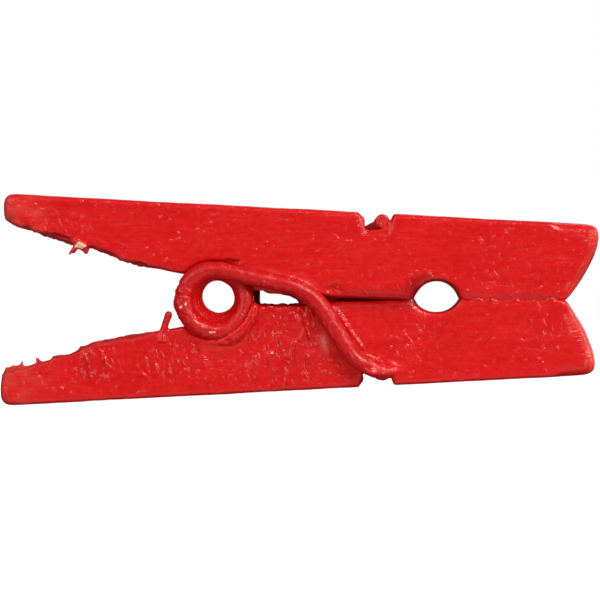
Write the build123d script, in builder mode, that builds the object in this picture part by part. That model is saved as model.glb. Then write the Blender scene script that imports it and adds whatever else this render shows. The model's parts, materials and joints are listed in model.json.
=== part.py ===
# Mini spring clothespin: two tapered wooden prongs held shut by a torsion spring of round wire.
# Millimetres, +Z up, +X towards the jaws, +Y across the width.
# The pin lies on the outer face of its lower prong; the origin is under the middle of its box.
import os
from math import cos
from math import pi
from math import radians
from math import sin
from math import sqrt
from math import tan

from build123d import *

# Overall
WIDTH = 3.0  # across a prong
UPPER_JAW_LENGTH = 16.18  # coil axis to the front of the jaw
LOWER_JAW_LENGTH = 16.03
UPPER_HANDLE_LENGTH = 8.87  # coil axis to the end of the handle
LOWER_HANDLE_LENGTH = 8.99
TAPER = 3.0  # angle between a prong's outer face and the seam, degrees
UPPER_FACE = 4.03  # height of the outer face over the coil axis
LOWER_FACE = 3.95

# Where the coil axis is
PIVOT_X = -3.561
PIVOT_Z = LOWER_FACE * cos(radians(TAPER))

# Handles
UPPER_TIP_INNER = 3.36  # seam level to the inner corner of the handle's end
LOWER_TIP_INNER = 3.06
UPPER_KNEE = (-3.4, 1.56)  # where the handle's inner face flattens out
LOWER_KNEE = (-5.1, 1.80)
SEAT_LIP = 1.10  # seam level to the handle side of the coil's seat
TIP_RADIUS = 0.30
KNEE_RADIUS = 4.0

# Coil seat and the faces between it and the jaws
SEAT_RADIUS = 1.66
UPPER_GAP = 0.32  # seam level to the inner face beside the coil
LOWER_GAP = 0.23
GAP_AT_LINE_HOLE = 0.10

# Hole for the line, half in each prong
LINE_HOLE_X = 9.35
LINE_HOLE_HALF = 0.94
UPPER_LINE_DEPTH = 0.82
LOWER_LINE_DEPTH = 0.52

# Jaws and mouth
MOUTH_X = 14.75  # where the jaws part
UPPER_MOUTH_MID = (15.67, 1.27)  # halfway up the rounded bevel
LOWER_MOUTH_MID = (15.56, 1.27)
MOUTH_TOP = 2.50  # where the bevel runs into the front
JAW_CORNER_RADIUS = 0.18

# Notch in the outer face for the hooked end of the wire
NOTCH_BACK = 6.10
NOTCH_FRONT = 7.52
NOTCH_FLOOR_BACK = 6.32
NOTCH_FLOOR_FRONT = 7.27
UPPER_NOTCH_FLOOR = 2.80  # seam level to the bottom of the notch
LOWER_NOTCH_FLOOR = 2.60
EDGE_BREAK = 0.10  # bevel along the edges of a prong's sides

# Spring
WIRE = 0.65
COIL_RADIUS = 1.30  # to the middle of the wire
ARM_SLOPE = 12.4  # of an arm where it leaves the coil, degrees
TURNS = 5.5 + ARM_SLOPE / 180
COIL_HALF = 1.83  # middle of the pin to the wire where it leaves the coil
PITCH = 2 * COIL_HALF / TURNS
ARM_PLANE = 1.89  # middle of the pin to the middle of an arm
ARM_REACH = 3.88  # coil to the arm's first bend
FOOT = (5.86, 2.51)  # the arm's second bend
LOWER_HOOK = (6.93, 2.94)  # where the wire turns across the prong
LOWER_HOOK_LEAN = (0.0, 0.0)
UPPER_HOOK = (6.75, 3.13)
UPPER_HOOK_LEAN = (0.33, 0.21)  # shift of the wire's end against the turn
HOOK_REACH = 1.35  # middle of the pin to the wire's end
BEND_RADIUS = 2.5
FOOT_RADIUS = 2.0
HOOK_RADIUS = 0.45
ENTRY_RADIUS = 4.0

# Each prong is drawn in its own plane: along the seam, and away from it.
PIVOT = Vector(PIVOT_X, 0, PIVOT_Z)
SEAM = Vector(cos(radians(TAPER)), 0, -sin(radians(TAPER)))
UPPER_PLANE = Plane(PIVOT, x_dir=SEAM, z_dir=(0, -1, 0))
LOWER_PLANE = Plane(PIVOT, x_dir=SEAM, z_dir=(0, 1, 0))


def face_height(face, along):
    """Height of a prong's outer face over the seam at a place along it."""
    return face - along * tan(radians(TAPER))


def prong_outline(face, handle, tip_inner, knee, gap, line_depth, notch_floor, jaw, mouth):
    """Side view of a prong, from the seam outwards."""
    seat_back = -sqrt(SEAT_RADIUS**2 - SEAT_LIP**2)
    seat_front = sqrt(SEAT_RADIUS**2 - gap**2)
    hole_back = LINE_HOLE_X - LINE_HOLE_HALF
    hole_front = LINE_HOLE_X + LINE_HOLE_HALF
    front_corner = (jaw, face_height(face, jaw))
    back_corner = (-handle, face_height(face, -handle))
    FilletPolyline(
        (seat_back, SEAT_LIP),
        knee,
        (-handle, tip_inner),
        back_corner,
        (NOTCH_BACK, face_height(face, NOTCH_BACK)),
        radius=(KNEE_RADIUS, TIP_RADIUS, TIP_RADIUS),
    )
    Polyline(
        (NOTCH_BACK, face_height(face, NOTCH_BACK)),
        (NOTCH_FLOOR_BACK, notch_floor),
        (NOTCH_FLOOR_FRONT, notch_floor),
        (NOTCH_FRONT, face_height(face, NOTCH_FRONT)),
    )
    FilletPolyline(
        (NOTCH_FRONT, face_height(face, NOTCH_FRONT)),
        front_corner,
        (jaw, MOUTH_TOP),
        radius=JAW_CORNER_RADIUS,
    )
    ThreePointArc((jaw, MOUTH_TOP), mouth, (MOUTH_X, 0))
    Line((MOUTH_X, 0), (hole_front, 0))
    ThreePointArc((hole_front, 0), (LINE_HOLE_X, line_depth), (hole_back, GAP_AT_LINE_HOLE))
    Line((hole_back, GAP_AT_LINE_HOLE), (seat_front, gap))
    ThreePointArc((seat_front, gap), (0, SEAT_RADIUS), (seat_back, SEAT_LIP))


def side_edges(prong):
    """Edges all round a prong's two flat sides."""
    near = prong.edges().group_by(Axis.Y)[0]
    far = prong.edges().group_by(Axis.Y)[-1]
    return near + far


def bent_wire(plane, points, radii):
    """Straight runs of wire joined by round bends."""
    corners = [plane.from_local_coords(Vector(point)) for point in points]
    start = corners[0]
    for before, corner, after, radius in zip(corners, corners[1:], corners[2:], radii):
        back = (before - corner).normalized()
        ahead = (after - corner).normalized()
        half = radians(back.get_angle(ahead)) / 2
        setback = radius / tan(half)
        middle = corner + (back + ahead).normalized() * (radius / sin(half) - radius)
        Line(start, corner + back * setback)
        start = corner + ahead * setback
        ThreePointArc(corner + back * setback, middle, start)
    Line(start, corners[-1])


def arm_path(plane, hook, lean):
    """Middle of the wire from the coil's end, along an arm and across its prong."""
    slope = radians(ARM_SLOPE)
    along = Vector(cos(slope), sin(slope), 0)
    start = Vector(COIL_RADIUS * sin(slope), -COIL_RADIUS * cos(slope), -COIL_HALF)
    offset = Vector(0, 0, COIL_HALF - ARM_PLANE)
    spread = (ARM_PLANE - COIL_HALF) * 2 * pi * COIL_RADIUS / PITCH
    bent_wire(
        plane,
        (
            start,
            start + along * spread + offset,
            start + along * ARM_REACH + offset,
            Vector(FOOT[0], FOOT[1], -ARM_PLANE),
            Vector(hook[0], hook[1], -ARM_PLANE),
            Vector(hook[0] + lean[0], hook[1] + lean[1], HOOK_REACH),
        ),
        (ENTRY_RADIUS, BEND_RADIUS, FOOT_RADIUS, HOOK_RADIUS),
    )


with BuildPart() as upper_prong:
    with BuildSketch(UPPER_PLANE) as upper_side:
        with BuildLine() as upper_outline:
            prong_outline(
                UPPER_FACE,
                UPPER_HANDLE_LENGTH,
                UPPER_TIP_INNER,
                UPPER_KNEE,
                UPPER_GAP,
                UPPER_LINE_DEPTH,
                UPPER_NOTCH_FLOOR,
                UPPER_JAW_LENGTH,
                UPPER_MOUTH_MID,
            )
        make_face()
    extrude(amount=WIDTH / 2, both=True)
    chamfer(side_edges(upper_prong), EDGE_BREAK)

with BuildPart() as lower_prong:
    with BuildSketch(LOWER_PLANE) as lower_side:
        with BuildLine() as lower_outline:
            prong_outline(
                LOWER_FACE,
                LOWER_HANDLE_LENGTH,
                LOWER_TIP_INNER,
                LOWER_KNEE,
                LOWER_GAP,
                LOWER_LINE_DEPTH,
                LOWER_NOTCH_FLOOR,
                LOWER_JAW_LENGTH,
                LOWER_MOUTH_MID,
            )
        make_face()
    extrude(amount=WIDTH / 2, both=True)
    chamfer(side_edges(lower_prong), EDGE_BREAK)

with BuildPart() as spring_coil:
    with BuildLine() as coil_path:
        turns = Helix(
            PITCH,
            2 * COIL_HALF,
            COIL_RADIUS,
            center=PIVOT - Vector(0, COIL_HALF, 0),
            direction=(0, 1, 0),
            lefthand=True,
            mode=Mode.PRIVATE,
        )
        add(turns.rotate(Axis(PIVOT, (0, 1, 0)), ARM_SLOPE + TAPER))
    with BuildSketch(coil_path.line ^ 0) as coil_wire:
        Circle(WIRE / 2)
    sweep(is_frenet=True)

with BuildPart() as spring_arm_lower:
    with BuildLine(LOWER_PLANE) as lower_arm_path:
        arm_path(LOWER_PLANE, LOWER_HOOK, LOWER_HOOK_LEAN)
    with BuildSketch(lower_arm_path.line ^ 0) as lower_arm_wire:
        Circle(WIRE / 2)
    sweep()

with BuildPart() as spring_arm_upper:
    with BuildLine(UPPER_PLANE) as upper_arm_path:
        arm_path(UPPER_PLANE, UPPER_HOOK, UPPER_HOOK_LEAN)
    with BuildSketch(upper_arm_path.line ^ 0) as upper_arm_wire:
        Circle(WIRE / 2)
    sweep()

os.makedirs("parts", exist_ok=True)

upper_prong.part.label = "upper_prong"
lower_prong.part.label = "lower_prong"
spring_coil.part.label = "spring_coil"
spring_arm_lower.part.label = "spring_arm_lower"
spring_arm_upper.part.label = "spring_arm_upper"

export_step(upper_prong.part, "parts/upper_prong.step")
export_step(lower_prong.part, "parts/lower_prong.step")
export_step(spring_coil.part, "parts/spring_coil.step")
export_step(spring_arm_lower.part, "parts/spring_arm_lower.step")
export_step(spring_arm_upper.part, "parts/spring_arm_upper.step")
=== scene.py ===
import json
import math

import bpy
import numpy as np
from mathutils import Matrix, Vector


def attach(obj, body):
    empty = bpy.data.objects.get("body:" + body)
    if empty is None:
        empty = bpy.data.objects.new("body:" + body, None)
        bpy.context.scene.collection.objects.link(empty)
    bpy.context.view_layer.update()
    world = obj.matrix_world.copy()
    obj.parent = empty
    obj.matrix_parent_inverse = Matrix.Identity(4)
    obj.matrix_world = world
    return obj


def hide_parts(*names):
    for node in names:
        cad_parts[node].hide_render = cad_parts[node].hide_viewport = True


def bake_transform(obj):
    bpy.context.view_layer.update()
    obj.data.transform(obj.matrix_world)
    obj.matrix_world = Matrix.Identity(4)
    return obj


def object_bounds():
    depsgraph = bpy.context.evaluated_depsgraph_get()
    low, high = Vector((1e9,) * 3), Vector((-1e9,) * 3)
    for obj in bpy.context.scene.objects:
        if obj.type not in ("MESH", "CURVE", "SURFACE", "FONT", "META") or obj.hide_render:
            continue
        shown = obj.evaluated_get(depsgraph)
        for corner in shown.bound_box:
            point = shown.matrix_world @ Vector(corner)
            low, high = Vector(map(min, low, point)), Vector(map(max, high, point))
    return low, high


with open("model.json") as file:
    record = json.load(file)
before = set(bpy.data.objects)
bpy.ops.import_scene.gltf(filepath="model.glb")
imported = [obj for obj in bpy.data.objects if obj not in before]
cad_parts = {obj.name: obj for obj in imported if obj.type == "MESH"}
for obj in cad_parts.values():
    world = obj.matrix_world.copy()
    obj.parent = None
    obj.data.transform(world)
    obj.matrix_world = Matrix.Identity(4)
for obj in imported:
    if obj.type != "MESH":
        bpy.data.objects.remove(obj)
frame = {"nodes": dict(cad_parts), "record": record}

cad_low, cad_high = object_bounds()

# ---------------------------------------------------------------- frame
# Shapes are worked in the seam frame, in millimetres: u along the seam towards
# the jaws, y across the width, v upwards from the seam, from the coil's axis.
MM = 0.001
TAPER = math.radians(3.0)
JOINT = frame["record"]["behaviour"]["joints"][0]
PIVOT = np.array(JOINT["pos_m"])
AXES = np.array([
    [math.cos(TAPER), 0, -math.sin(TAPER)],
    [0, 1, 0],
    [math.sin(TAPER), 0, math.cos(TAPER)]])

# The spring, as the CAD has it: the wire's radius, the radius and half length of the coil's middle line,
# the arms' slope to the seam, the turns between the arms, and the arms' distance from the middle plane.
WIRE = 0.325
COIL_RADIUS = 1.30
COIL_HALF = 1.83
SLOPE = math.radians(12.4)
TURNS = 5.5 + SLOPE / math.pi
ARM_PLANE = 1.89
PITCH = 2 * COIL_HALF / TURNS

# Grid steps of the two kinds of skin, the line hole's middle, and the strength of the soft room light.
WOOD_VOXEL = 0.0605
WIRE_VOXEL = 0.045
HOLE_U = 9.35
AMBIENT = 0.34


def to_seam(points):
    """From the row's frame in metres to the seam frame in millimetres."""
    return (np.asarray(points, float) - PIVOT) @ AXES.T / MM


def to_row(points):
    """From the seam frame in millimetres to the row's frame in metres."""
    return np.asarray(points, float) @ AXES * MM + PIVOT


# ---------------------------------------------------------------- noise
def scrambled(i, j, k, seed):
    """A whole number that looks random, from a grid corner and a seed."""
    h = (i * 374761393 + j * 668265263 + k * 2147483647 + seed * 1274126177) & 0xFFFFFFFF
    h = ((h ^ (h >> 13)) * 1274126177) & 0xFFFFFFFF
    h = ((h ^ (h >> 16)) * 2246822519) & 0xFFFFFFFF
    return h ^ (h >> 15)


EDGE_WAYS = np.array(
    [[1, 1, 0], [-1, 1, 0], [1, -1, 0], [-1, -1, 0], [1, 0, 1], [-1, 0, 1], [1, 0, -1], [-1, 0, -1],
     [0, 1, 1], [0, -1, 1], [0, 1, -1], [0, -1, -1], [1, 1, 0], [-1, 1, 0], [0, -1, 1], [0, -1, -1]], float)


def noise(p, scale, seed=0):
    """Smooth gradient noise of about -1 to 1; scale is the feature size along u, y and v in mm."""
    off_grid = 37.17
    q = np.asarray(p, float) / np.asarray(scale, float) + off_grid
    i = np.floor(q).astype(np.int64)
    f = q - i
    w = f * f * f * (f * (f * 6 - 15) + 10)
    total = np.zeros(len(q))
    for a in (0, 1):
        for b in (0, 1):
            for c in (0, 1):
                g = EDGE_WAYS[scrambled(i[:, 0] + a, i[:, 1] + b, i[:, 2] + c, seed) & 15]
                d = ((f - (a, b, c)) * g).sum(1)
                wa = w[:, 0] if a else 1 - w[:, 0]
                wb = w[:, 1] if b else 1 - w[:, 1]
                wc = w[:, 2] if c else 1 - w[:, 2]
                total += d * wa * wb * wc
    return total * 1.4


def ramp(x, a, b):
    """0 below a, 1 above b and a smooth rise between them."""
    t = np.clip((x - a) / (b - a), 0, 1)
    return t * t * (3 - 2 * t)


# ---------------------------------------------------------------- mesh helpers
def tube(path, radius, sides=20):
    """A closed round tube along a path, as (points, faces)."""
    path = np.asarray(path, float)
    radius = np.broadcast_to(np.asarray(radius, float), (len(path),))
    tangent = np.gradient(path, axis=0)
    tangent /= np.linalg.norm(tangent, axis=1)[:, None]
    side = np.cross(tangent[0], (0.31, 0.83, 0.47))
    rings = []
    for n, t in enumerate(tangent):
        side = side - t * (side @ t)
        side /= np.linalg.norm(side)
        up = np.cross(t, side)
        a = np.arange(sides) * 2 * math.pi / sides
        rings.append(path[n] + radius[n] * (np.outer(np.cos(a), side) + np.outer(np.sin(a), up)))
    points = np.vstack(rings + [path[:1], path[-1:]])
    faces, first, last = [], len(points) - 2, len(points) - 1
    for n in range(len(path) - 1):
        for s in range(sides):
            e = (s + 1) % sides
            faces.append((n * sides + s, n * sides + e, (n + 1) * sides + e, (n + 1) * sides + s))
    base = (len(path) - 1) * sides
    for s in range(sides):
        e = (s + 1) % sides
        faces.append((first, e, s))
        faces.append((last, base + s, base + e))
    return points, faces


def lathe(profile, centre, screw, sides=64):
    """A closed ring along y: profile is a loop of (y, radius), centre gives the axis's (u, v) at y, and
    screw the shift along y at each angle, for ends that follow the wire."""
    a = np.arange(sides) * 2 * math.pi / sides
    points, faces, n = [], [], len(profile)
    for y, r in profile:
        cu, cv = centre(y)
        points.append(np.stack([cu + r * np.cos(a), y + screw(y, a), cv + r * np.sin(a)], 1))
    for k in range(n):
        m = (k + 1) % n
        for s in range(sides):
            e = (s + 1) % sides
            faces.append((k * sides + s, k * sides + e, m * sides + e, m * sides + s))
    return np.vstack(points), faces


def slab(stations):
    """A closed bar through stations of (u, y0, y1, v0, v1)."""
    points = [(u, y, v) for u, y0, y1, v0, v1 in stations
              for y, v in ((y0, v0), (y1, v0), (y1, v1), (y0, v1))]
    faces = [(0, 1, 2, 3), tuple(len(points) - k for k in (1, 2, 3, 4))]
    for n in range(0, len(points) - 4, 4):
        for k in range(4):
            e = (k + 1) % 4
            faces.append((n + k, n + 4 + k, n + 4 + e, n + e))
    return np.array(points, float), faces


def joined(parts):
    """Several (points, faces) as one."""
    points, faces, base = [], [], 0
    for p, f in parts:
        points.append(p)
        faces += [tuple(base + i for i in face) for face in f]
        base += len(p)
    return np.vstack(points), faces


def mesh_of(name, points, faces):
    me = bpy.data.meshes.new(name)
    me.from_pydata(np.asarray(points).tolist(), [], [tuple(int(i) for i in f) for f in faces])
    me.update()
    return me


def remeshed(points, faces, voxel):
    """One closed skin round everything, as (points, quads)."""
    me = mesh_of("work", points, faces)
    ob = bpy.data.objects.new("work", me)
    bpy.context.scene.collection.objects.link(ob)
    m = ob.modifiers.new("skin", "REMESH")
    m.mode = "VOXEL"
    m.voxel_size = voxel
    m.adaptivity = 0
    got = ob.evaluated_get(bpy.context.evaluated_depsgraph_get()).to_mesh()
    co = np.empty(len(got.vertices) * 3, np.float32)
    got.vertices.foreach_get("co", co)
    quads = np.empty(len(got.loops), np.int32)
    got.loops.foreach_get("vertex_index", quads)
    co, quads = co.reshape(-1, 3).astype(float), quads.reshape(-1, 4).copy()
    ob.to_mesh_clear()
    bpy.data.objects.remove(ob)
    bpy.data.meshes.remove(me)
    return co, quads


def neighbours(quads, count):
    """Every pair of points that share an edge, both ways round, and each point's number of neighbours."""
    e = np.vstack([quads[:, [0, 1]], quads[:, [1, 2]], quads[:, [2, 3]], quads[:, [3, 0]]])
    e = np.unique(np.sort(e, 1), axis=0)
    return np.vstack([e, e[:, ::-1]]), np.bincount(np.hstack([e[:, 0], e[:, 1]]), minlength=count)


def smooth(co, edges, share, rounds, mask=None):
    """Evens the skin, more where mask is 1, as thick paint does."""
    pairs, count = edges
    for _ in range(rounds):
        mean = np.stack([np.bincount(pairs[:, 0], co[pairs[:, 1], k], len(co)) for k in range(3)], 1)
        step = (mean / count[:, None] - co) * share
        co = co + (step if mask is None else step * mask[:, None])
    return co


def normals(co, quads):
    """The skin's outward direction at each point."""
    a, b, c, d = (co[quads[:, k]] for k in range(4))
    face = np.cross(c - a, d - b)
    n = np.stack([sum(np.bincount(quads[:, k], face[:, x], len(co)) for k in range(4)) for x in range(3)], 1)
    return n / np.maximum(np.linalg.norm(n, axis=1), 1e-12)[:, None]


def cad_skin(node):
    """A CAD node's own mesh in the seam frame, with doubled corners merged."""
    me = frame["nodes"][node].data
    co = to_seam([v.co for v in me.vertices])
    _, index, back = np.unique(np.round(co, 5), axis=0, return_index=True, return_inverse=True)
    back = back.reshape(-1)
    faces = []
    for p in me.polygons:
        f = [int(back[v]) for v in p.vertices]
        if len(set(f)) == len(f):
            faces.append(tuple(f))
    return co[index], faces


def keep(name, co, quads, material, slot, **layers):
    """Stores a finished skin as an object in the row frame, with its paint masks."""
    me = mesh_of(name, to_row(co), quads)
    me.shade_smooth()
    for label, values in layers.items():
        me.attributes.new(label, "FLOAT", "POINT").data.foreach_set("value", values.astype(np.float32))
    me.materials.append(material)
    ob = bpy.data.objects.new(name, me)
    bpy.context.scene.collection.objects.link(ob)
    return ob


# ---------------------------------------------------------------- spring line
def bent(points, radii, step=0.05):
    """Points along straight runs joined by round bends."""
    points = [np.array(p, float) for p in points]
    line, start = [], points[0]
    for before, corner, after, radius in zip(points, points[1:], points[2:], radii):
        back = (before - corner) / np.linalg.norm(before - corner)
        ahead = (after - corner) / np.linalg.norm(after - corner)
        half = math.acos(np.clip(back @ ahead, -1, 1)) / 2
        setback = radius / math.tan(half)
        middle = (back + ahead) / np.linalg.norm(back + ahead)
        centre = corner + middle * radius / math.sin(half)
        first = corner + back * setback
        n = max(2, int(np.linalg.norm(first - start) / step))
        line += [start + (first - start) * k / n for k in range(n)]
        a, b = first - centre, corner + ahead * setback - centre
        sweep = math.pi - 2 * half
        n = max(3, int(radius * sweep / step))
        line += [centre + (a * math.sin(sweep * (1 - k / n)) + b * math.sin(sweep * k / n)) / math.sin(sweep)
                 for k in range(n)]
        start = corner + ahead * setback
    n = max(2, int(np.linalg.norm(points[-1] - start) / step))
    return np.array(line + [start + (points[-1] - start) * k / n for k in range(n + 1)])


def coil_point(turn):
    """Middle of the wire after some turns from the near end; the near end is at the top."""
    a = math.pi / 2 - SLOPE + 2 * math.pi * np.asarray(turn, float)
    y = -COIL_HALF + PITCH * np.asarray(turn, float)
    return np.stack([COIL_RADIUS * np.cos(a), y, COIL_RADIUS * np.sin(a)], -1)


def arm_line(side, hook, lean):
    """Middle of the wire from the coil to the hook's end; side is -1 for the near arm, 1 for the far one."""
    along = np.array([math.cos(SLOPE), 0, side * math.sin(SLOPE)])
    start = np.array([COIL_RADIUS * math.sin(SLOPE), side * COIL_HALF, -side * COIL_RADIUS * math.cos(SLOPE)])
    shift = np.array([0, side * (ARM_PLANE - COIL_HALF), 0])
    spread = (ARM_PLANE - COIL_HALF) * 2 * math.pi * COIL_RADIUS / PITCH
    return bent(
        (start, start + along * spread + shift, start + along * 3.88 + shift,
         (5.86, side * ARM_PLANE, side * 2.51), (hook[0], side * ARM_PLANE, side * hook[1]),
         (hook[0] + lean[0], -side * 1.35, side * (hook[1] + lean[1]))),
        (4.0, 2.5, 2.0, 0.45))


near_line = arm_line(-1, (6.93, 2.94), (0.0, 0.0))
far_line = arm_line(1, (6.80, 2.93), (0.26, 0.41))


# ---------------------------------------------------------------- materials
def node(tree, kind, inputs=(), **settings):
    """A shader node, with each input linked or set to a value."""
    made = tree.nodes.new(kind)
    for key, value in settings.items():
        setattr(made, key, value)
    for key, value in dict(inputs).items():
        if isinstance(value, bpy.types.NodeSocket):
            tree.links.new(value, made.inputs[key])
        else:
            made.inputs[key].default_value = value
    return made


def mm_along_grain(tree):
    """Position in millimetres with X along the seam, so that grain and brush marks follow the wood."""
    here = node(tree, "ShaderNodeTexCoord").outputs["Object"]
    turned = node(tree, "ShaderNodeVectorRotate", {"Vector": here, "Angle": -TAPER}, rotation_type="Y_AXIS")
    scaled = node(tree, "ShaderNodeVectorMath", {0: turned.outputs[0], "Scale": 1 / MM}, operation="SCALE")
    return scaled.outputs[0]


def texture(tree, place, size, detail=2.0):
    """Noise with features of the given size in millimetres along X, Y and Z."""
    scaled = node(tree, "ShaderNodeVectorMath", {0: place, 1: [1 / s for s in size]}, operation="MULTIPLY")
    made = node(tree, "ShaderNodeTexNoise", {"Vector": scaled.outputs[0], "Scale": 1.0, "Detail": detail})
    return made.outputs[0]


def spread(tree, value, low, high, to_low, to_high):
    """Maps low to to_low and high to to_high, and holds beyond them."""
    return node(tree, "ShaderNodeMapRange", {
        "Value": value, "From Min": low, "From Max": high, "To Min": to_low, "To Max": to_high}).outputs[0]


def blended(tree, share, a, b):
    """Colour a where share is 0 and colour b where it is 1."""
    mix = node(tree, "ShaderNodeMix", data_type="RGBA")
    for socket, value in ((mix.inputs[0], share), (mix.inputs[6], a), (mix.inputs[7], b)):
        if isinstance(value, bpy.types.NodeSocket):
            tree.links.new(value, socket)
        else:
            socket.default_value = value
    return mix.outputs[2]


def bump(tree, height, strength, depth, under=None):
    """Relief of a depth in millimetres, over the relief under it."""
    made = node(tree, "ShaderNodeBump", {"Height": height, "Strength": strength, "Distance": depth * MM})
    if under is not None:
        tree.links.new(under, made.inputs["Normal"])
    return made.outputs[0]


def times(tree, a, b):
    return node(tree, "ShaderNodeMath", {0: a, 1: b}, operation="MULTIPLY").outputs[0]


STREAK_RED = (0.76, 0.024, 0.020, 1)
CREASE_SHADE_RED = (0.47, 0.001, 0.002, 1)
SPECK_GLINT_RED = (0.85, 0.10, 0.09, 1)
RUN_GLINT_RED = (0.92, 0.20, 0.19, 1)
# Near-black red used as painted shade in hollows, gaps and inner faces.
PAINTED_SHADE_RED = (0.10, 0.000, 0.001, 1)


def red_paint(name, brush, mottle, sheen, thin, thick, bare_colour):
    """Thick hand-brushed enamel. Point layers: bare wood showing through, with painted highlights in the same
    layer; painted shade in hollows, gaps and inner faces; strokes has runs and matt has lost its gloss. sheen
    is the range of roughness."""
    mat = bpy.data.materials.new(name)
    mat.use_nodes = True
    tree = mat.node_tree
    tree.nodes.clear()
    place = mm_along_grain(tree)
    leaning = node(tree, "ShaderNodeVectorRotate", {"Vector": place, "Angle": 0.28}, rotation_type="Y_AXIS")
    leaning = leaning.outputs[0]
    cloud = texture(tree, place, (2.6, 1.1, 1.1), 3.0)
    streak = texture(tree, place, brush, 2.0)
    grit = texture(tree, place, mottle, 3.0)
    specks = spread(tree, texture(tree, place, (0.27, 0.22, 0.22), 1.0), 0.63, 0.80, 0, 1)
    patches = spread(tree, texture(tree, place, (2.2, 1.4, 1.2), 1.0), 0.42, 0.62, 0.25, 1)
    specks = times(tree, specks, patches)
    strokes = spread(tree, texture(tree, leaning, (0.17, 0.26, 0.38), 1.5), 0.59, 0.69, 0, 1)
    crease = texture(tree, place, (3.4, 0.6, 0.30), 1.5)
    crease = node(tree, "ShaderNodeMath", {0: crease, 1: 0.5}, operation="SUBTRACT").outputs[0]
    crease = node(tree, "ShaderNodeMath", {0: crease}, operation="ABSOLUTE").outputs[0]
    crease = times(tree, spread(tree, crease, 0.0, 0.045, 1, 0), spread(tree, cloud, 0.44, 0.60, 0, 1))
    bare = node(tree, "ShaderNodeAttribute", attribute_name="bare").outputs["Fac"]
    deep = node(tree, "ShaderNodeAttribute", attribute_name="deep").outputs["Fac"]
    runny = node(tree, "ShaderNodeAttribute", attribute_name="strokes").outputs["Fac"]
    matt = node(tree, "ShaderNodeAttribute", attribute_name="matt").outputs["Fac"]

    colour = blended(tree, spread(tree, cloud, 0.36, 0.66, 0, 1), thick, thin)
    colour = blended(tree, spread(tree, streak, 0.56, 0.78, 0, 0.30), colour, STREAK_RED)
    # Painted shade along the fine creases in the paint.
    colour = blended(tree, times(tree, crease, 0.45), colour, CREASE_SHADE_RED)
    # Painted highlight: pinkish glints on the small paint specks.
    colour = blended(tree, times(tree, specks, 0.36), colour, SPECK_GLINT_RED)
    strokes = times(tree, strokes, runny)
    # Painted highlight: pink glints on the paint runs.
    colour = blended(tree, times(tree, strokes, 0.38), colour, RUN_GLINT_RED)
    # Painted shade: darkens the paint where shade falls in hollows, gaps and on inner faces.
    colour = blended(tree, deep, colour, PAINTED_SHADE_RED)
    # Bare wood showing through, and painted highlights on rims and glint spots, share this pale mix.
    colour = blended(tree, bare, colour, bare_colour)

    gloss = spread(tree, grit, 0.35, 0.70, *sheen)
    gloss = node(tree, "ShaderNodeMath", {0: gloss, 1: times(tree, matt, 0.40)}, operation="ADD").outputs[0]
    normal = bump(tree, streak, 0.35, 0.016)
    normal = bump(tree, grit, 0.48, 0.018, normal)
    normal = bump(tree, spread(tree, crease, 0, 1, 1, 0), 0.5, 0.012, normal)
    normal = bump(tree, specks, 0.9, 0.030, normal)
    normal = bump(tree, strokes, 1.0, 0.055, normal)
    skin = node(tree, "ShaderNodeBsdfPrincipled", {
        "Base Color": colour, "Roughness": gloss, "Normal": normal, "IOR": 1.45, "Specular IOR Level": 0.42})
    out = node(tree, "ShaderNodeOutputMaterial")
    tree.links.new(skin.outputs[0], out.inputs[0])
    return mat


wood_paint = red_paint("red_paint_on_wood", (1.4, 0.12, 0.12), (0.26, 0.18, 0.18), (0.22, 0.36),
                       (0.695, 0.007, 0.007, 1), (0.605, 0.003, 0.004, 1), (0.92, 0.56, 0.38, 1))
wire_paint = red_paint("red_paint_on_wire", (0.9, 0.30, 0.30), (0.26, 0.20, 0.20), (0.28, 0.42),
                       (0.61, 0.005, 0.006, 1), (0.53, 0.003, 0.004, 1), (0.74, 0.46, 0.42, 1))


# ---------------------------------------------------------------- prongs
def segment_distance(p, a, b):
    """Distance from points (u, v) to a straight run."""
    a, b = np.asarray(a, float), np.asarray(b, float)
    t = np.clip(((p - a) @ (b - a)) / max((b - a) @ (b - a), 1e-9), 0, 1)
    return np.linalg.norm(p - a - t[:, None] * (b - a), axis=1)


def line_distance(p, line):
    """Distance from points (u, v) to a run of straight lines."""
    best = np.full(len(p), 1e9)
    for a, b in zip(line, line[1:]):
        best = np.minimum(best, segment_distance(p, a, b))
    return best


def spot(p, centre, size):
    """1 at a place, fading to 0 around it."""
    d = (p - np.asarray(centre, float)) / np.asarray(size, float)
    return np.exp(-(d * d).sum(-1))


def softened(co, spikes):
    """How far each point of a prong is evened out, and which points are on the jaw's worn face."""
    u, y, v = co.T
    jaw_face = ramp(u - 14.9 + 0.5 * ramp(np.abs(v), 0, 2.5), -0.3, 0.2) * ramp(np.abs(v), 0.1, 0.7)
    spiky = np.clip(1.3 * sum(spot(co[:, [0, 2]], at, (0.20, 0.34)) for at in spikes), 0, 1)
    handle_end = ramp(-u, 8.1, 8.6) * (1 - spiky)
    hole_rim = 1 - ramp(np.abs(np.hypot(u - HOLE_U, v * 1.2) - 0.95), 0.15, 0.45)
    seam = ramp(u, 4.2, 5.0) * (1 - ramp(u, 8.4, 9.2)) * (1 - ramp(np.abs(v), 0.5, 0.8))
    by_coil = 0.5 * np.exp(-((np.hypot(u, v) - 1.90) / 0.22) ** 2) * ramp(u, 0, 0.6) * ramp(-v, 0, 0.3)
    by_coil = by_coil * ramp(-y, 0.9, 1.2)
    by_hook = 0.6 * spot(co[:, [0, 2]], (7.35, -2.75), (0.45, 0.30)) * ramp(-v, 1.8, 2.2)
    ends = np.clip(jaw_face + handle_end, 0, 1)
    return np.clip(ends + hole_rim * 0.3 + seam * 0.4 + (by_coil + by_hook), 0, 1), jaw_face


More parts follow.
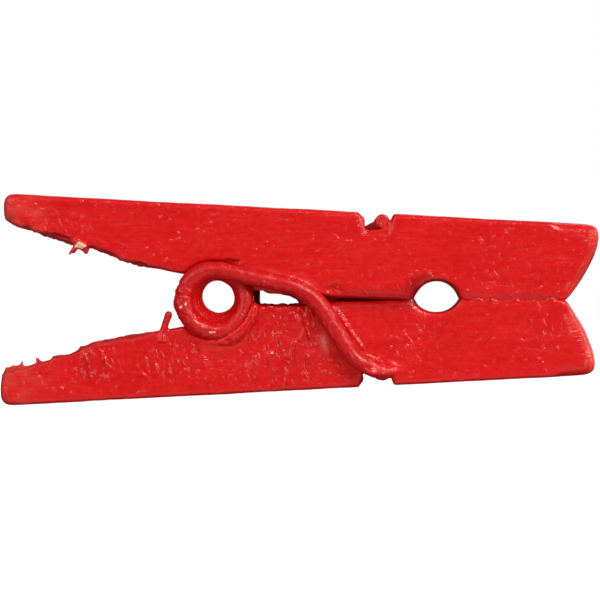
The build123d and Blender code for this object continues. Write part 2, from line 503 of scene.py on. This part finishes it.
def prong(name, cad, body, seed, extra, spikes, shape, marks):
    """One painted prong: the CAD prong and the extra pieces under one skin. spikes are spots that stay sharp,
    shape gives the paint's height and marks its point layers."""
    co, quads = remeshed(*joined([cad_skin(cad)] + extra), WOOD_VOXEL)
    edges = neighbours(quads, len(co))
    co = smooth(co, edges, 0.5, 4)
    evened, jaw_face = softened(co, spikes)
    co = smooth(co, edges, 0.5, 60, evened)
    co = smooth(co, edges, 0.5, 50, jaw_face)
    n = normals(co, quads)
    lift = 0.020 * noise(co, (2.6, 1.3, 1.3), seed) + 0.007 * noise(co, (0.45, 0.35, 0.35), seed + 1)
    lift += 0.004 * noise(co, (2.4, 0.20, 0.20), seed + 2)
    lift += shape(co, n)
    co = co + n * lift[:, None]
    co = smooth(co, edges, 0.4, 1)
    bare, strokes, deep, matt = marks(co, n)
    # Thin paint at the handle ends and a painted highlight on the jaws' rims.
    bare = np.maximum(bare, rim_wear_and_highlight(co, n))
    ob = keep(name, co, quads, wood_paint, "painted_wood", bare=bare, strokes=strokes, deep=deep, matt=matt)
    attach(ob, body)
    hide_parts(cad)
    return ob


def torn(co, n, side, seed):
    """Rough, stepped fibres on a handle's inner face."""
    inside = ramp(-side * n[:, 2], 0.1, 0.5) * ramp(-co[:, 0], 2.2, 3.2)
    steps = np.tanh(2.5 * noise(co, (0.55, 0.5, 0.3), seed)) + 0.7 * noise(co, (0.18, 0.3, 0.2), seed + 1)
    return inside * (0.065 * steps)


def inner(co, n, side):
    """A handle's inner face, where the paint lies dull over torn fibre and painted shade darkens it."""
    return ramp(-side * n[:, 2], 0.0, 0.5) * ramp(-co[:, 0], 2.2, 3.2)


def rim_wear_and_highlight(co, n):
    """Paler paint on the rounded rims at both ends where they turn towards the front: thin paint at the
    handle ends, and a painted highlight on the jaws' rims.
    """
    ends = ramp(co[:, 0], 13.6, 14.2) + ramp(-co[:, 0], 8.0, 8.4)
    return 0.05 * ends * ramp(np.abs(n[:, 0]), 0.15, 0.55) * ramp(-n[:, 1], 0.10, 0.35)


def runny(co, zones):
    """Where the paint ran across the grain."""
    return np.minimum(sum(amount * spot(co[:, [0, 2]], centre, size) for centre, size, amount in zones), 1.0)


def paint_ridges(co, seed, mask):
    """Sagging ridges of paint across the grain."""
    wavy = co + 0.12 * np.stack([noise(co, 0.5, seed + 5), 0 * co[:, 0], noise(co, 0.5, seed + 6)], 1)
    cross = noise(wavy, (0.22, 0.7, 0.9), seed)
    return mask * (0.075 * ramp(cross, 0.22, 0.6) - 0.03 * ramp(-cross, 0.3, 0.7))


def worn_line(co, n, side, stops):
    """Moves a handle's inner face in or out along its length; stops are (u, amount)."""
    u, amount = zip(*stops)
    return ramp(-side * n[:, 2], 0.1, 0.5) * np.interp(co[:, 0], u, amount)


def faded(co, seed):
    """Paint that lets a little of the pale wood through at the handle's end."""
    return 0.045 * ramp(-co[:, 0], 6.3, 8.6) * np.clip(0.7 + 0.9 * noise(co, (0.7, 0.5, 0.4), seed), 0, 1.6)


def ragged(value, co, seed):
    """A soft spot given a torn outline."""
    return ramp(value + 0.25 * noise(co, 0.12, seed), 0.42, 0.62)


def welts(co, runs):
    """Narrow raised lines of paint, each from one place to another: (start, end, width, height)."""
    wavy = co[:, [0, 2]] + 0.035 * np.stack([noise(co, 0.22, 91), noise(co, 0.22, 92)], 1)
    beads = 0.75 + 0.45 * noise(co, 0.16, 93)
    total = 0
    for start, end, width, height in runs:
        total = total + height * beads * np.exp(-(segment_distance(wavy, start, end) / width) ** 2)
    return total


def fillet(co, line, reach, height):
    """Paint that bridges the step between the wire and the wood beside it."""
    d = line_distance(co[:, [0, 2]], line[::4][:, [0, 2]])
    return height * np.exp(-(d / reach) ** 2)


def above(co, line):
    """1 above a line, 0 below it."""
    level = np.interp(co[:, 0], line[:, 0], line[:, 2])
    return ramp(co[:, 2] - level, 0.10, 0.30)


arm_over_upper = near_line[near_line[:, 0] < 5.0]
far_over_upper = far_line[far_line[:, 2] > 0.9]
near_over_lower = near_line[near_line[:, 2] < -0.5]


def hole_wall(co, n):
    """Painted shade on the inside of the line hole."""
    inside = 1 - ramp(np.hypot(co[:, 0] - HOLE_U, co[:, 2] * 1.1), 1.0, 1.25)
    return 0.55 * inside * (1 - ramp(np.abs(n[:, 1]), 0.25, 0.75))


def seam_shade(co):
    """Painted shade along the seam, in a groove beyond the line hole, at the hole's corner and in a ring
    round the hole.
    """
    u, v = co[:, 0], co[:, 2]
    side = co[:, [0, 2]]
    along = ramp(u, 4.6, 5.4) * (1 - ramp(u, 8.2, 8.8)) * np.exp(-(v / 0.36) ** 2)
    groove = ramp(u, 10.2, 10.6) * (1 - ramp(u, 14.0, 14.8)) * np.exp(-((v - 0.10) / 0.13) ** 2)
    corner = 0.60 * spot(side, (8.42, 0.50), (0.30, 0.42)) + 0.40 * spot(side, (8.9, 0.92), (0.4, 0.2))
    from_hole = np.hypot((u - 9.31) / 0.96, (v - 0.20) / 0.66)
    ring = 0.34 * np.exp(-((from_hole - 1.03) / 0.09) ** 2)
    return 0.52 * along + 0.22 * groove + np.maximum(corner, ring)


def slit_in(co):
    """1 in the short slit above the coil; it dents the paint there and places painted shade in it."""
    return np.exp(-(segment_distance(co[:, [0, 2]], (0.50, 1.71), (1.00, 1.64)) / 0.075) ** 2)


def fissure_in(co):
    """1 in the crack at the upper handle's worn edge; it dents the paint there and places painted shade in
    it.
    """
    return np.exp(-(segment_distance(co[:, [0, 2]], (-6.75, 2.72), (-6.15, 2.50)) / 0.10) ** 2)


def seam_closing(co):
    """1 where paint narrows the seam, between the arm and the line hole."""
    u, v = co[:, 0], co[:, 2]
    return ramp(u, 4.4, 5.2) * (1 - ramp(u, 8.2, 8.5)) * ramp(0.6 - np.abs(v), 0, 0.2)


# Raised lines of paint on the upper prong's near side: (start, end, width, height).
UPPER_WELTS = (
    ((10.35, 0.20), (11.40, 0.62), 0.07, 0.035), ((11.6, 0.50), (12.5, 0.62), 0.07, 0.03),
    ((-7.33, 2.96), (-6.40, 2.82), 0.05, 0.05), ((-7.9, 3.30), (-7.3, 3.22), 0.06, 0.03),
    ((-6.9, 3.62), (-6.2, 3.52), 0.06, 0.03), ((-5.3, 2.60), (-4.6, 2.35), 0.06, 0.04),
    ((-7.2, 3.85), (-6.8, 3.75), 0.05, 0.03), ((-4.1, 2.40), (-3.6, 2.15), 0.06, 0.04))

# The same on the lower prong: the curtain beside the near arm, then single runs.
LOWER_WELTS = (
    ((3.67, -0.35), (3.99, -1.55), 0.07, 0.20), ((4.01, -0.45), (4.17, -1.20), 0.06, 0.18),
    ((3.30, -0.50), (3.50, -1.20), 0.06, 0.10), ((3.87, 0.10), (4.25, -1.05), 0.06, 0.10),
    ((5.22, -0.58), (6.20, -2.03), 0.08, 0.09),
    ((1.66, -2.37), (1.64, -3.10), 0.05, 0.08), ((2.27, -2.20), (2.33, -2.85), 0.05, 0.07),
    ((3.38, -1.80), (3.36, -2.10), 0.06, 0.07), ((-0.70, -1.95), (-0.35, -2.60), 0.05, 0.06),
    ((0.05, -2.05), (0.22, -2.65), 0.05, 0.06), ((-3.30, -2.75), (-2.78, -3.35), 0.05, 0.06),
    ((-5.35, -2.60), (-5.22, -3.20), 0.05, 0.06), ((-4.60, -2.40), (-4.55, -3.05), 0.05, 0.05))

# Lines just inside the jaws' front edges, raised a little and given a painted highlight: (start, end, width,
# strength).
UPPER_RIM = (((15.77, 2.95), (15.76, 2.30), 0.07, 1.0), ((15.60, 1.75), (15.20, 1.05), 0.06, 0.8),
             ((14.95, 0.75), (14.70, 0.45), 0.06, 0.8))
LOWER_RIM = (((15.62, -2.20), (15.60, -2.80), 0.07, 1.0), ((14.70, -0.70), (14.95, -1.40), 0.09, 0.6))
RIM_HEIGHT = 0.06
# How strongly the rim lines are lightened as a painted highlight.
RIM_HIGHLIGHT = 0.10


def upper_shape(co, n):
    """Height of the upper prong's paint over its plain wood."""
    near, far, under = ramp(-n[:, 1], 0.5, 0.9), ramp(n[:, 1], 0.5, 0.9), ramp(-n[:, 2], 0.4, 0.8)
    side = co[:, [0, 2]]
    bank = fillet(co, arm_over_upper, 0.36, 0.16) * above(co, arm_over_upper) * ramp(co[:, 0], 0.7, 2.6)
    glint = 0.05 * spot(side, (1.30, 1.60), (0.14, 0.05)) + 0.04 * spot(side, (0.10, 1.74), (0.16, 0.05))
    hollow = 0.16 * spot(side, (4.95, 0.45), (0.35, 0.22))
    closing = 0.09 * seam_closing(co)
    lip = 0.22 * spot(side, (1.85, 0.36), (0.24, 0.2))
    edge = worn_line(co, n, 1, ((-5.4, 0.0), (-5.1, -0.08), (-4.3, -0.07), (-4.0, 0.0)))
    groove = 0.04 * ramp(co[:, 0], 10.4, 10.8) * (1 - ramp(co[:, 0], 14.0, 14.6))
    groove = groove * np.exp(-((co[:, 2] - 0.12) / 0.10) ** 2)
    raised = welts(co, UPPER_WELTS) + RIM_HEIGHT * welts(co, UPPER_RIM)
    facing = bank + raised - groove - 0.05 * slit_in(co) + glint - hollow - 0.22 * fissure_in(co)
    return (torn(co, n, 1, 41) + edge + far * fillet(co, far_over_upper, 0.45, 0.36)
            + near * facing + under * (closing - lip))


# Where paint ran on the upper prong: (place, size, amount).
UPPER_RUNS = (((-6.5, 2.9), (1.6, 0.7), 0.35), ((12.5, 1.5), (1.8, 1.0), 0.25), ((8.0, 0.9), (2.0, 0.5), 0.3))


def upper_marks(co, n):
    """The upper prong's point layers: bare wood with painted highlights, runs, painted shade, matt."""
    chip = ragged(spot(co[:, [0, 2]], (-5.62, 2.32), (0.26, 0.15)) * ramp(-co[:, 1], 1.0, 1.2), co, 44)
    runs = runny(co, UPPER_RUNS)
    near = ramp(-n[:, 1], 0.2, 0.6)
    # Painted shade in the slit above the coil and in the crack at the handle's edge.
    crack_shade = 0.80 * slit_in(co) + 0.6 * ramp(fissure_in(co), 0.4, 0.8)
    # Painted shade: the line hole's wall, the inner face, along the seam and in the slit and crack.
    deep = hole_wall(co, n) + 0.30 * inner(co, n, 1) + near * seam_shade(co) + near * crack_shade
    # Painted highlights: a glint on the upper handle and lines along the jaw's front rim.
    thin = 0.07 * spot(co[:, [0, 2]], (-7.45, 3.72), (0.20, 0.16)) + RIM_HIGHLIGHT * welts(co, UPPER_RIM)
    return np.maximum(chip, faded(co, 45)) + thin * near, runs, deep, inner(co, n, 1)


# Where paint ran on the lower prong: (place, size, amount).
LOWER_RUNS = (
    ((-5.0, -2.7), (0.8, 0.8), 0.9), ((-1.7, -2.5), (1.1, 0.7), 0.9), ((3.0, -2.0), (2.0, 1.3), 1.0),
    ((-7.6, -3.7), (1.2, 0.6), 0.3), ((14.0, -1.0), (0.9, 1.0), 0.4), ((8.6, -1.6), (1.2, 1.0), 0.35))
THICK_RUNS = LOWER_RUNS[:3]


def lower_shape(co, n):
    """Height of the lower prong's paint over its plain wood."""
    near, over = ramp(-n[:, 1], 0.5, 0.9), ramp(n[:, 2], 0.4, 0.8)
    side = co[:, [0, 2]]
    raised = welts(co, LOWER_WELTS) + RIM_HEIGHT * welts(co, LOWER_RIM)
    patch = 0.14 * spot(side, (4.55, -1.78), (0.22, 0.38))
    d = line_distance(side, near_over_lower[::4][:, [0, 2]])
    left = ramp(np.interp(-co[:, 2], -near_line[:, 2], near_line[:, 0]) - co[:, 0], -0.1, 0.3)
    bank = (0.14 + 0.26 * left) * np.exp(-(d / (0.33 + 0.34 * left)) ** 2)
    out = np.hypot(co[:, 0], co[:, 2]) - 1.60
    below = ramp(-co[:, 2], -0.4, 0.3)
    ring = (0.14 + 0.10 * ramp(co[:, 0], 0.3, 1.1)) * below * np.exp(-(np.maximum(out, 0) / 0.34) ** 2)
    ring += 0.07 * spot(side, (0.15, -1.78), (0.55, 0.09))
    closing = 0.05 * seam_closing(co)
    beads = 0.09 * noise(co, 0.30, 64) * ramp(co[:, 0], 1.6, 2.0) * (1 - ramp(co[:, 0], 3.6, 4.2))
    edge = worn_line(co, n, -1, (
        (-8.9, 0.0), (-8.4, -0.05), (-8.0, -0.09), (-7.2, -0.12), (-6.90, -0.14), (-6.82, -0.02),
        (-6.5, -0.07), (-6.2, -0.16), (-5.75, -0.10), (-5.65, 0.0), (-5.0, 0.02)))
    ridges = paint_ridges(co, 61, runny(co, THICK_RUNS))
    return (torn(co, n, -1, 51) * 0.6 + edge + over * (closing + beads)
            + near * (ridges + np.maximum(bank, ring) + raised + patch))


def lower_marks(co, n):
    """The lower prong's point layers: bare wood with painted highlights, runs, painted shade, matt."""
    u, v = co[:, 0], co[:, 2]
    side = co[:, [0, 2]]
    near = ramp(-n[:, 1], 0.2, 0.6)
    # Painted shade in the gap between the prongs, by the coil and by the arm, and on the lower prong's top
    # face inside the gap.
    between = ramp(v, -0.30, -0.18) * (1 - ramp(v, 0.5, 0.6)) * ramp(co[:, 1], -1.42, -1.10)
    by_coil = 0.85 * (1 - ramp(u, 1.95, 2.1)) * ramp(u, 1.4, 1.5)
    by_arm = 0.4 * ramp(u, 4.2, 4.6) * (1 - ramp(u, 6.6, 7.1))
    ledge = ramp(n[:, 2], 0.3, 0.8) * ramp(u, 1.8, 2.0) * (1 - ramp(u, 3.6, 4.0)) * ramp(v, -0.4, -0.25)
    # Painted shade: the line hole's wall, the inner face, along the seam and in the gap between the prongs.
    deep = hole_wall(co, n) + 0.30 * inner(co, n, -1) + near * seam_shade(co)
    deep = deep + between * (by_coil + by_arm) + 0.45 * ledge
    # Painted highlights: a glint patch beside the arm, one at the arm's hook, and lines along the jaw's front
    # rim.
    thin = 0.14 * spot(side, (4.58, -1.80), (0.17, 0.36)) + 0.10 * spot(side, (7.15, -2.98), (0.16, 0.16))
    thin = thin + RIM_HIGHLIGHT * welts(co, LOWER_RIM)
    return faded(co, 46) + thin * near, runny(co, LOWER_RUNS), deep, inner(co, n, -1)


# Paint and torn fibre that stand off the plain wood, each joined to its own prong.
seam_fill = slab([
    (2.75, -0.9, 0.9, 0.25, 0.36), (3.15, -0.9, 1.1, 0.19, 0.36), (3.46, -0.9, 1.2, 0.04, 0.34),
    (3.72, -0.9, 1.2, -0.35, 0.30), (4.6, -0.95, 1.2, -0.35, 0.30), (6.4, -1.05, 1.1, -0.30, 0.22),
    (7.2, -1.15, 1.2, -0.25, 0.14), (7.8, -1.15, 1.2, -0.25, 0.12), (8.1, -0.8, 1.2, -0.25, 0.10),
    (8.45, -0.95, 1.1, -0.25, 0.09)])
seam_bead = slab([
    (10.3, -1.43, 1.43, -0.15, 0.03), (12.5, -1.46, 1.46, -0.15, 0.05), (14.55, -1.44, 1.44, -0.15, 0.04)])
ring_paint = tube([(1.72 * math.cos(a), -1.44, 1.72 * math.sin(a)) for a in np.radians(range(-84, -3, 8))],
                  [0.10, 0.15] + [0.20] * 7 + [0.15, 0.10], 12)
upper_corners = [tube([(u, -1.44, 0.25), (u, 1.44, 0.25)], (0.24, 0.24), 12) for u in (8.20, 10.48)]
lower_corners = [
    tube([(u, -1.43, v), (u, 1.43, v)], (r, r), 12)
    for u, v, r in ((8.20, -0.20, 0.20), (8.28, -0.02, 0.16), (10.44, -0.20, 0.20), (10.42, -0.02, 0.16))]
seam_lumps = [
    tube([(a, -1.40, v), ((a + b) / 2, -1.43, v + 0.03), (b, -1.40, v)], (0.09, 0.11, 0.09), 10)
    for a, b, v in ((10.90, 11.20, 0.02), (11.42, 11.80, 0.0), (12.5, 12.7, 0.02), (14.00, 14.25, 0.03))]
coil_web = slab([(1.58, -0.5, 1.1, -0.4, 0.42), (1.91, -0.4, 1.0, -0.4, 0.50)])
lower_notch_fill = tube([(7.06, -1.42, -3.02), (7.02, 0, -3.02), (7.0, 1.45, -3.0)], (0.36, 0.37, 0.36), 16)
elbow_paint = tube([(6.30, -1.84, -2.50), (6.65, -1.82, -2.76), (7.00, -1.72, -2.94), (7.35, -1.52, -2.97),
                    (7.65, -1.36, -2.92), (7.95, -1.25, -2.85)], (0.28, 0.32, 0.33, 0.27, 0.20, 0.12), 16)
lower_notch_side = tube([(6.55, -1.42, -2.72), (6.55, 1.45, -2.72)], (0.22, 0.22), 12)
lower_notch_lip = tube([(6.08, -1.30, -3.30), (6.08, 1.30, -3.30)], (0.20, 0.20), 12)
upper_notch_lip = tube([(6.12, -1.32, 3.38), (6.12, 1.32, 3.38)], (0.21, 0.21), 12)
upper_notch_wall = tube([(6.14, -1.42, 3.08), (6.14, 1.42, 3.08)], (0.21, 0.21), 12)
upper_notch_fill = slab([(6.30, -1.45, 1.45, 2.5, 2.94), (7.25, -1.45, 1.45, 2.5, 3.04)])
upper_notch_side = tube([(7.28, -1.38, 3.16), (7.28, 1.40, 3.16)], (0.24, 0.24), 12)

# The splinter by the coil on its small mound, and the thorns at the lower handle's end.
standing = tube([(-2.22, -1.30, -1.75), (-2.15, -1.38, -1.30), (-2.03, -1.42, -0.90), (-1.93, -1.42, -0.62),
                 (-1.88, -1.41, -0.48)], (0.19, 0.17, 0.16, 0.165, 0.14), 12)
mound = tube([(-2.18, -1.38, -1.75), (-2.17, -1.40, -1.42)], (0.24, 0.17), 12)
thorns = [
    tube([(u, y, v - 0.25), (u + lean / 2, y, v + tall / 2), (u + lean, y, v + tall)],
         (thick, (thick + 2 * tip) / 3, tip), 10)
    for u, v, tall, lean, y, thick, tip in (
        (-8.74, -3.12, 0.34, -0.02, -1.2, 0.22, 0.12), (-8.47, -3.02, 0.40, 0.03, -1.25, 0.22, 0.10),
        (-8.20, -2.92, 0.46, 0.12, -1.25, 0.28, 0.10), (-7.38, -2.67, 0.36, -0.02, -1.2, 0.17, 0.14))]

# The torn bit under the upper handle.
torn_root = tube([(-5.84, -1.38, 2.54), (-5.40, -1.38, 2.22)], (0.18, 0.17), 10)
torn_strands = [
    tube([(-5.76, -1.34, 2.40), (-5.90, -1.38, 2.16), (-6.05, -1.38, 1.98), (-6.14, -1.38, 1.87)],
         (0.14, 0.12, 0.085, 0.06), 10),
    tube([(-5.58, -1.30, 2.28), (-5.48, -1.33, 2.08), (-5.40, -1.33, 1.95)], (0.11, 0.11, 0.08), 10),
    tube([(-5.24, -1.30, 2.26), (-5.32, -1.33, 2.06), (-5.39, -1.33, 1.95)], (0.12, 0.11, 0.08), 10),
    tube([(-5.40, -1.30, 2.26), (-5.40, -1.33, 2.00)], (0.10, 0.05), 10)]


upper_extra = [upper_notch_fill, upper_notch_side, upper_notch_lip, upper_notch_wall, torn_root]
upper_extra += upper_corners + torn_strands
lower_extra = [seam_fill, seam_bead, coil_web, lower_notch_fill, lower_notch_side, lower_notch_lip]
lower_extra += [elbow_paint, standing, mound] + thorns + lower_corners + seam_lumps + [ring_paint]
end_thorns = ((-8.74, -2.98), (-8.46, -2.90))

prong("upper_prong_painted", "upper_prong", "upper_jaw", 11, upper_extra, (), upper_shape, upper_marks)
prong("lower_prong_painted", "lower_prong", "lower_jaw", 23, lower_extra, end_thorns,
      lower_shape, lower_marks)


# ---------------------------------------------------------------- spring
# One seed for the coil and its arms, so that the paint goes on from one to the other.
WIRE_SEED = 73


def wire_skin(name, parts, seed, shape, marks):
    """Painted wire: shape gives the paint's height and marks how far it is chipped."""
    co, quads = remeshed(*joined(parts), WIRE_VOXEL)
    edges = neighbours(quads, len(co))
    co = smooth(co, edges, 0.5, 6)
    n = normals(co, quads)
    lift = 0.014 * noise(co, (0.5, 0.5, 0.5), seed) + 0.006 * noise(co, (0.22, 0.22, 0.22), seed + 1)
    co = co + n * (lift + shape(co))[:, None]
    return keep(name, co, quads, wire_paint, "painted_wire", bare=marks(co), strokes=0.25 + 0 * co[:, 0],
                deep=0 * co[:, 0], matt=0 * co[:, 0])


def plain(co):
    """No extra paint and no chips."""
    return 0 * co[:, 0]


def arm(name, line, cad, body, side):
    """One arm, which starts a little way inside the coil's last turn."""
    turn = 0.05 if side < 0 else TURNS - 0.05
    root = coil_point(np.linspace(turn, 0 if side < 0 else TURNS, 6))[:-1]
    path = np.vstack([root, line])
    radius = WIRE + 0.035 + 0.035 * ramp(path[:, 0], 3.2, 4.8) - 0.085 * ramp(path[:, 0], 6.75, 6.95)
    radius[:5] = np.linspace(WIRE - 0.01, WIRE + 0.03, 5)
    ob = wire_skin(name, [tube(path, radius)], WIRE_SEED, plain, plain)
    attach(ob, body)
    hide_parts(cad)
    return ob


arm("near_arm_painted", near_line, "spring_arm_lower", "lower_jaw", -1)
arm("far_arm_painted", far_line, "spring_arm_upper", "upper_jaw", 1)


def bore_centre(y):
    """The middle (u, v) of the paint inside the coil, off the axis between its ends as the photo has it."""
    middle = min(1, 3 * (1 - abs(y) / COIL_HALF))
    return 0.19 * middle, 0.19 * middle


def along_screw(y, a):
    """How far the wire has climbed at angle a, at either end of the coil."""
    first = math.pi / 2 - SLOPE
    last = first + 2 * math.pi * TURNS
    if y < 0:
        return PITCH * ramp(-y, 0.9, 1.5) * (((a - first) / (2 * math.pi)) % 1)
    return -PITCH * ramp(y, 0.9, 1.5) * (((last - a) / (2 * math.pi)) % 1)


def on_near_turn(co):
    """1 on the outside of the coil's first turn."""
    return ramp(-co[:, 1], 1.3, 1.6) * ramp(np.hypot(co[:, 0], co[:, 2]), 1.0, 1.15)


def coil_wrinkles(co):
    """Creases across the first turn, where the paint gathered."""
    around = np.degrees(np.arctan2(co[:, 2], co[:, 0]))
    creases = sum(np.exp(-((around - a) / 2.2) ** 2) for a in (155, 171))
    lumps = np.exp(-(((around % 360) - 184) / 9) ** 2)
    knotty = ramp(around % 360, 146, 160) * (1 - ramp(around % 360, 205, 222)) * 0.03 * noise(co, 0.17, 77)
    return on_near_turn(co) * (0.02 * lumps - 0.03 * creases + knotty)


def coil_scrapes(co):
    """Small spots on the first turn where the paint is rubbed through."""
    spots = ((-1.41, -0.28), (0.08, 0.07)), ((-1.21, -0.12), (0.04, 0.13)), ((-0.10, -1.33), (0.15, 0.045))
    return ragged(sum(spot(co[:, [0, 2]], *s) for s in spots) * on_near_turn(co), co, 75)


turn = np.linspace(0, TURNS, 560)
thickness = 0.03 + 0.035 * (1 - ramp(turn, 0.6, 1.2)) - 0.065 * (1 - ramp(turn, 0, 0.10))
turns = tube(coil_point(turn), WIRE + thickness - 0.03 * ramp(turn, TURNS - 0.08, TURNS))
half_sleeve = [(2.13, 1.24), (1.98, 1.03), (1.80, 0.86), (1.58, 0.75), (1.25, 0.70)]
sleeve = lathe([(-y, r) for y, r in half_sleeve] + half_sleeve[::-1] + [(1.80, 1.42), (-1.80, 1.42)],
               bore_centre, along_screw)
coil = wire_skin("spring_coil_painted", [turns, sleeve], WIRE_SEED, coil_wrinkles, coil_scrapes)
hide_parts("spring_coil")
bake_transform(coil)


# ---------------------------------------------------------------- floor and light
FLOOR_HALF = 3.0
FLOOR_DROP = 0.00003
LAMP_DISTANCE = 0.30


def floor():
    """A pale table just under the paint, lit from itself so that it stays white."""
    me = bpy.data.meshes.new("floor")
    corners = [(x * FLOOR_HALF, y * FLOOR_HALF, 0) for x, y in ((-1, -1), (1, -1), (1, 1), (-1, 1))]
    me.from_pydata(corners, [], [(0, 1, 2, 3)])
    mat = bpy.data.materials.new("white_table")
    mat.use_nodes = True
    tree = mat.node_tree
    skin = tree.nodes["Principled BSDF"]
    skin.inputs["Base Color"].default_value = (0.85, 0.85, 0.85, 1)
    skin.inputs["Roughness"].default_value = 0.9
    skin.inputs["Emission Color"].default_value = (1, 1, 1, 1)
    skin.inputs["Emission Strength"].default_value = 0.74
    me.materials.append(mat)
    ob = bpy.data.objects.new("floor", me)
    ob.location.z = -FLOOR_DROP
    bpy.context.scene.collection.objects.link(ob)
    ob.visible_diffuse = False
    ob.visible_glossy = False
    ob.visible_shadow = False


def softbox(name, direction, size, power):
    """A square lamp that faces the object's middle."""
    light = bpy.data.lights.new(name, "AREA")
    light.size = size
    light.energy = power
    ob = bpy.data.objects.new(name, light)
    aim = Vector(direction).normalized()
    middle = (Vector(cad_low) + Vector(cad_high)) / 2
    ob.location = middle + aim * LAMP_DISTANCE
    ob.rotation_euler = aim.to_track_quat("Z", "Y").to_euler()
    bpy.context.scene.collection.objects.link(ob)


def surroundings():
    """White to the camera, an even soft light on matt colour, and a dim room in the gloss."""
    world = bpy.data.worlds.new("studio")
    bpy.context.scene.world = world
    world.use_nodes = True
    tree = world.node_tree
    tree.nodes.clear()
    way = node(tree, "ShaderNodeTexCoord").outputs["Generated"]
    split = node(tree, "ShaderNodeSeparateXYZ", {0: way})
    height = spread(tree, split.outputs["Z"], -0.2, 1.0, 0.03, 0.12)
    room = node(tree, "ShaderNodeBackground", {"Color": (1, 1, 1, 1), "Strength": height})
    soft = node(tree, "ShaderNodeBackground", {"Color": (1, 1, 1, 1), "Strength": AMBIENT})
    white = node(tree, "ShaderNodeBackground", {"Color": (1, 1, 1, 1), "Strength": 1.0})
    path = node(tree, "ShaderNodeLightPath").outputs
    seen = room
    for ray, light in (("Is Diffuse Ray", soft), ("Is Camera Ray", white)):
        seen = node(tree, "ShaderNodeMixShader", {0: path[ray], 1: seen.outputs[0], 2: light.outputs[0]})
    tree.links.new(seen.outputs[0], node(tree, "ShaderNodeOutputWorld").inputs[0])


floor()
surroundings()
softbox("key", (0.50, -0.80, 0.60), 0.10, 0.56)
softbox("fill", (-0.62, -0.72, 0.42), 0.22, 0.30)
softbox("low", (0.10, -0.80, -0.62), 0.22, 0.10)
softbox("rim", (0.97, -0.22, 0.20), 0.12, 0.32)
softbox("back", (0.60, 0.75, 0.45), 0.36, 0.34)


# ---------------------------------------------------------------- camera
def camera():
    """Square to the side of the pin and level with the seam, from 450 mm."""
    distance, aim_u, aim_v, frame_width = 450.0, 3.591, 0.02, 25.2
    lens = bpy.data.cameras.new("camera")
    near_side = 1.5
    lens.sensor_width = 36
    lens.lens = lens.sensor_width * (distance - near_side) / frame_width
    ob = bpy.data.objects.new("camera", lens)
    right, up = AXES[0], AXES[2]
    back = np.array([0, -1, 0])
    spot_at = to_row([[aim_u, -distance, aim_v]])[0]
    ob.matrix_world = Matrix([(right[k], up[k], back[k], spot_at[k]) for k in range(3)] + [(0, 0, 0, 1)])
    bpy.context.scene.collection.objects.link(ob)
    bpy.context.scene.camera = ob


camera()
bpy.context.scene.view_settings.view_transform = "Standard"
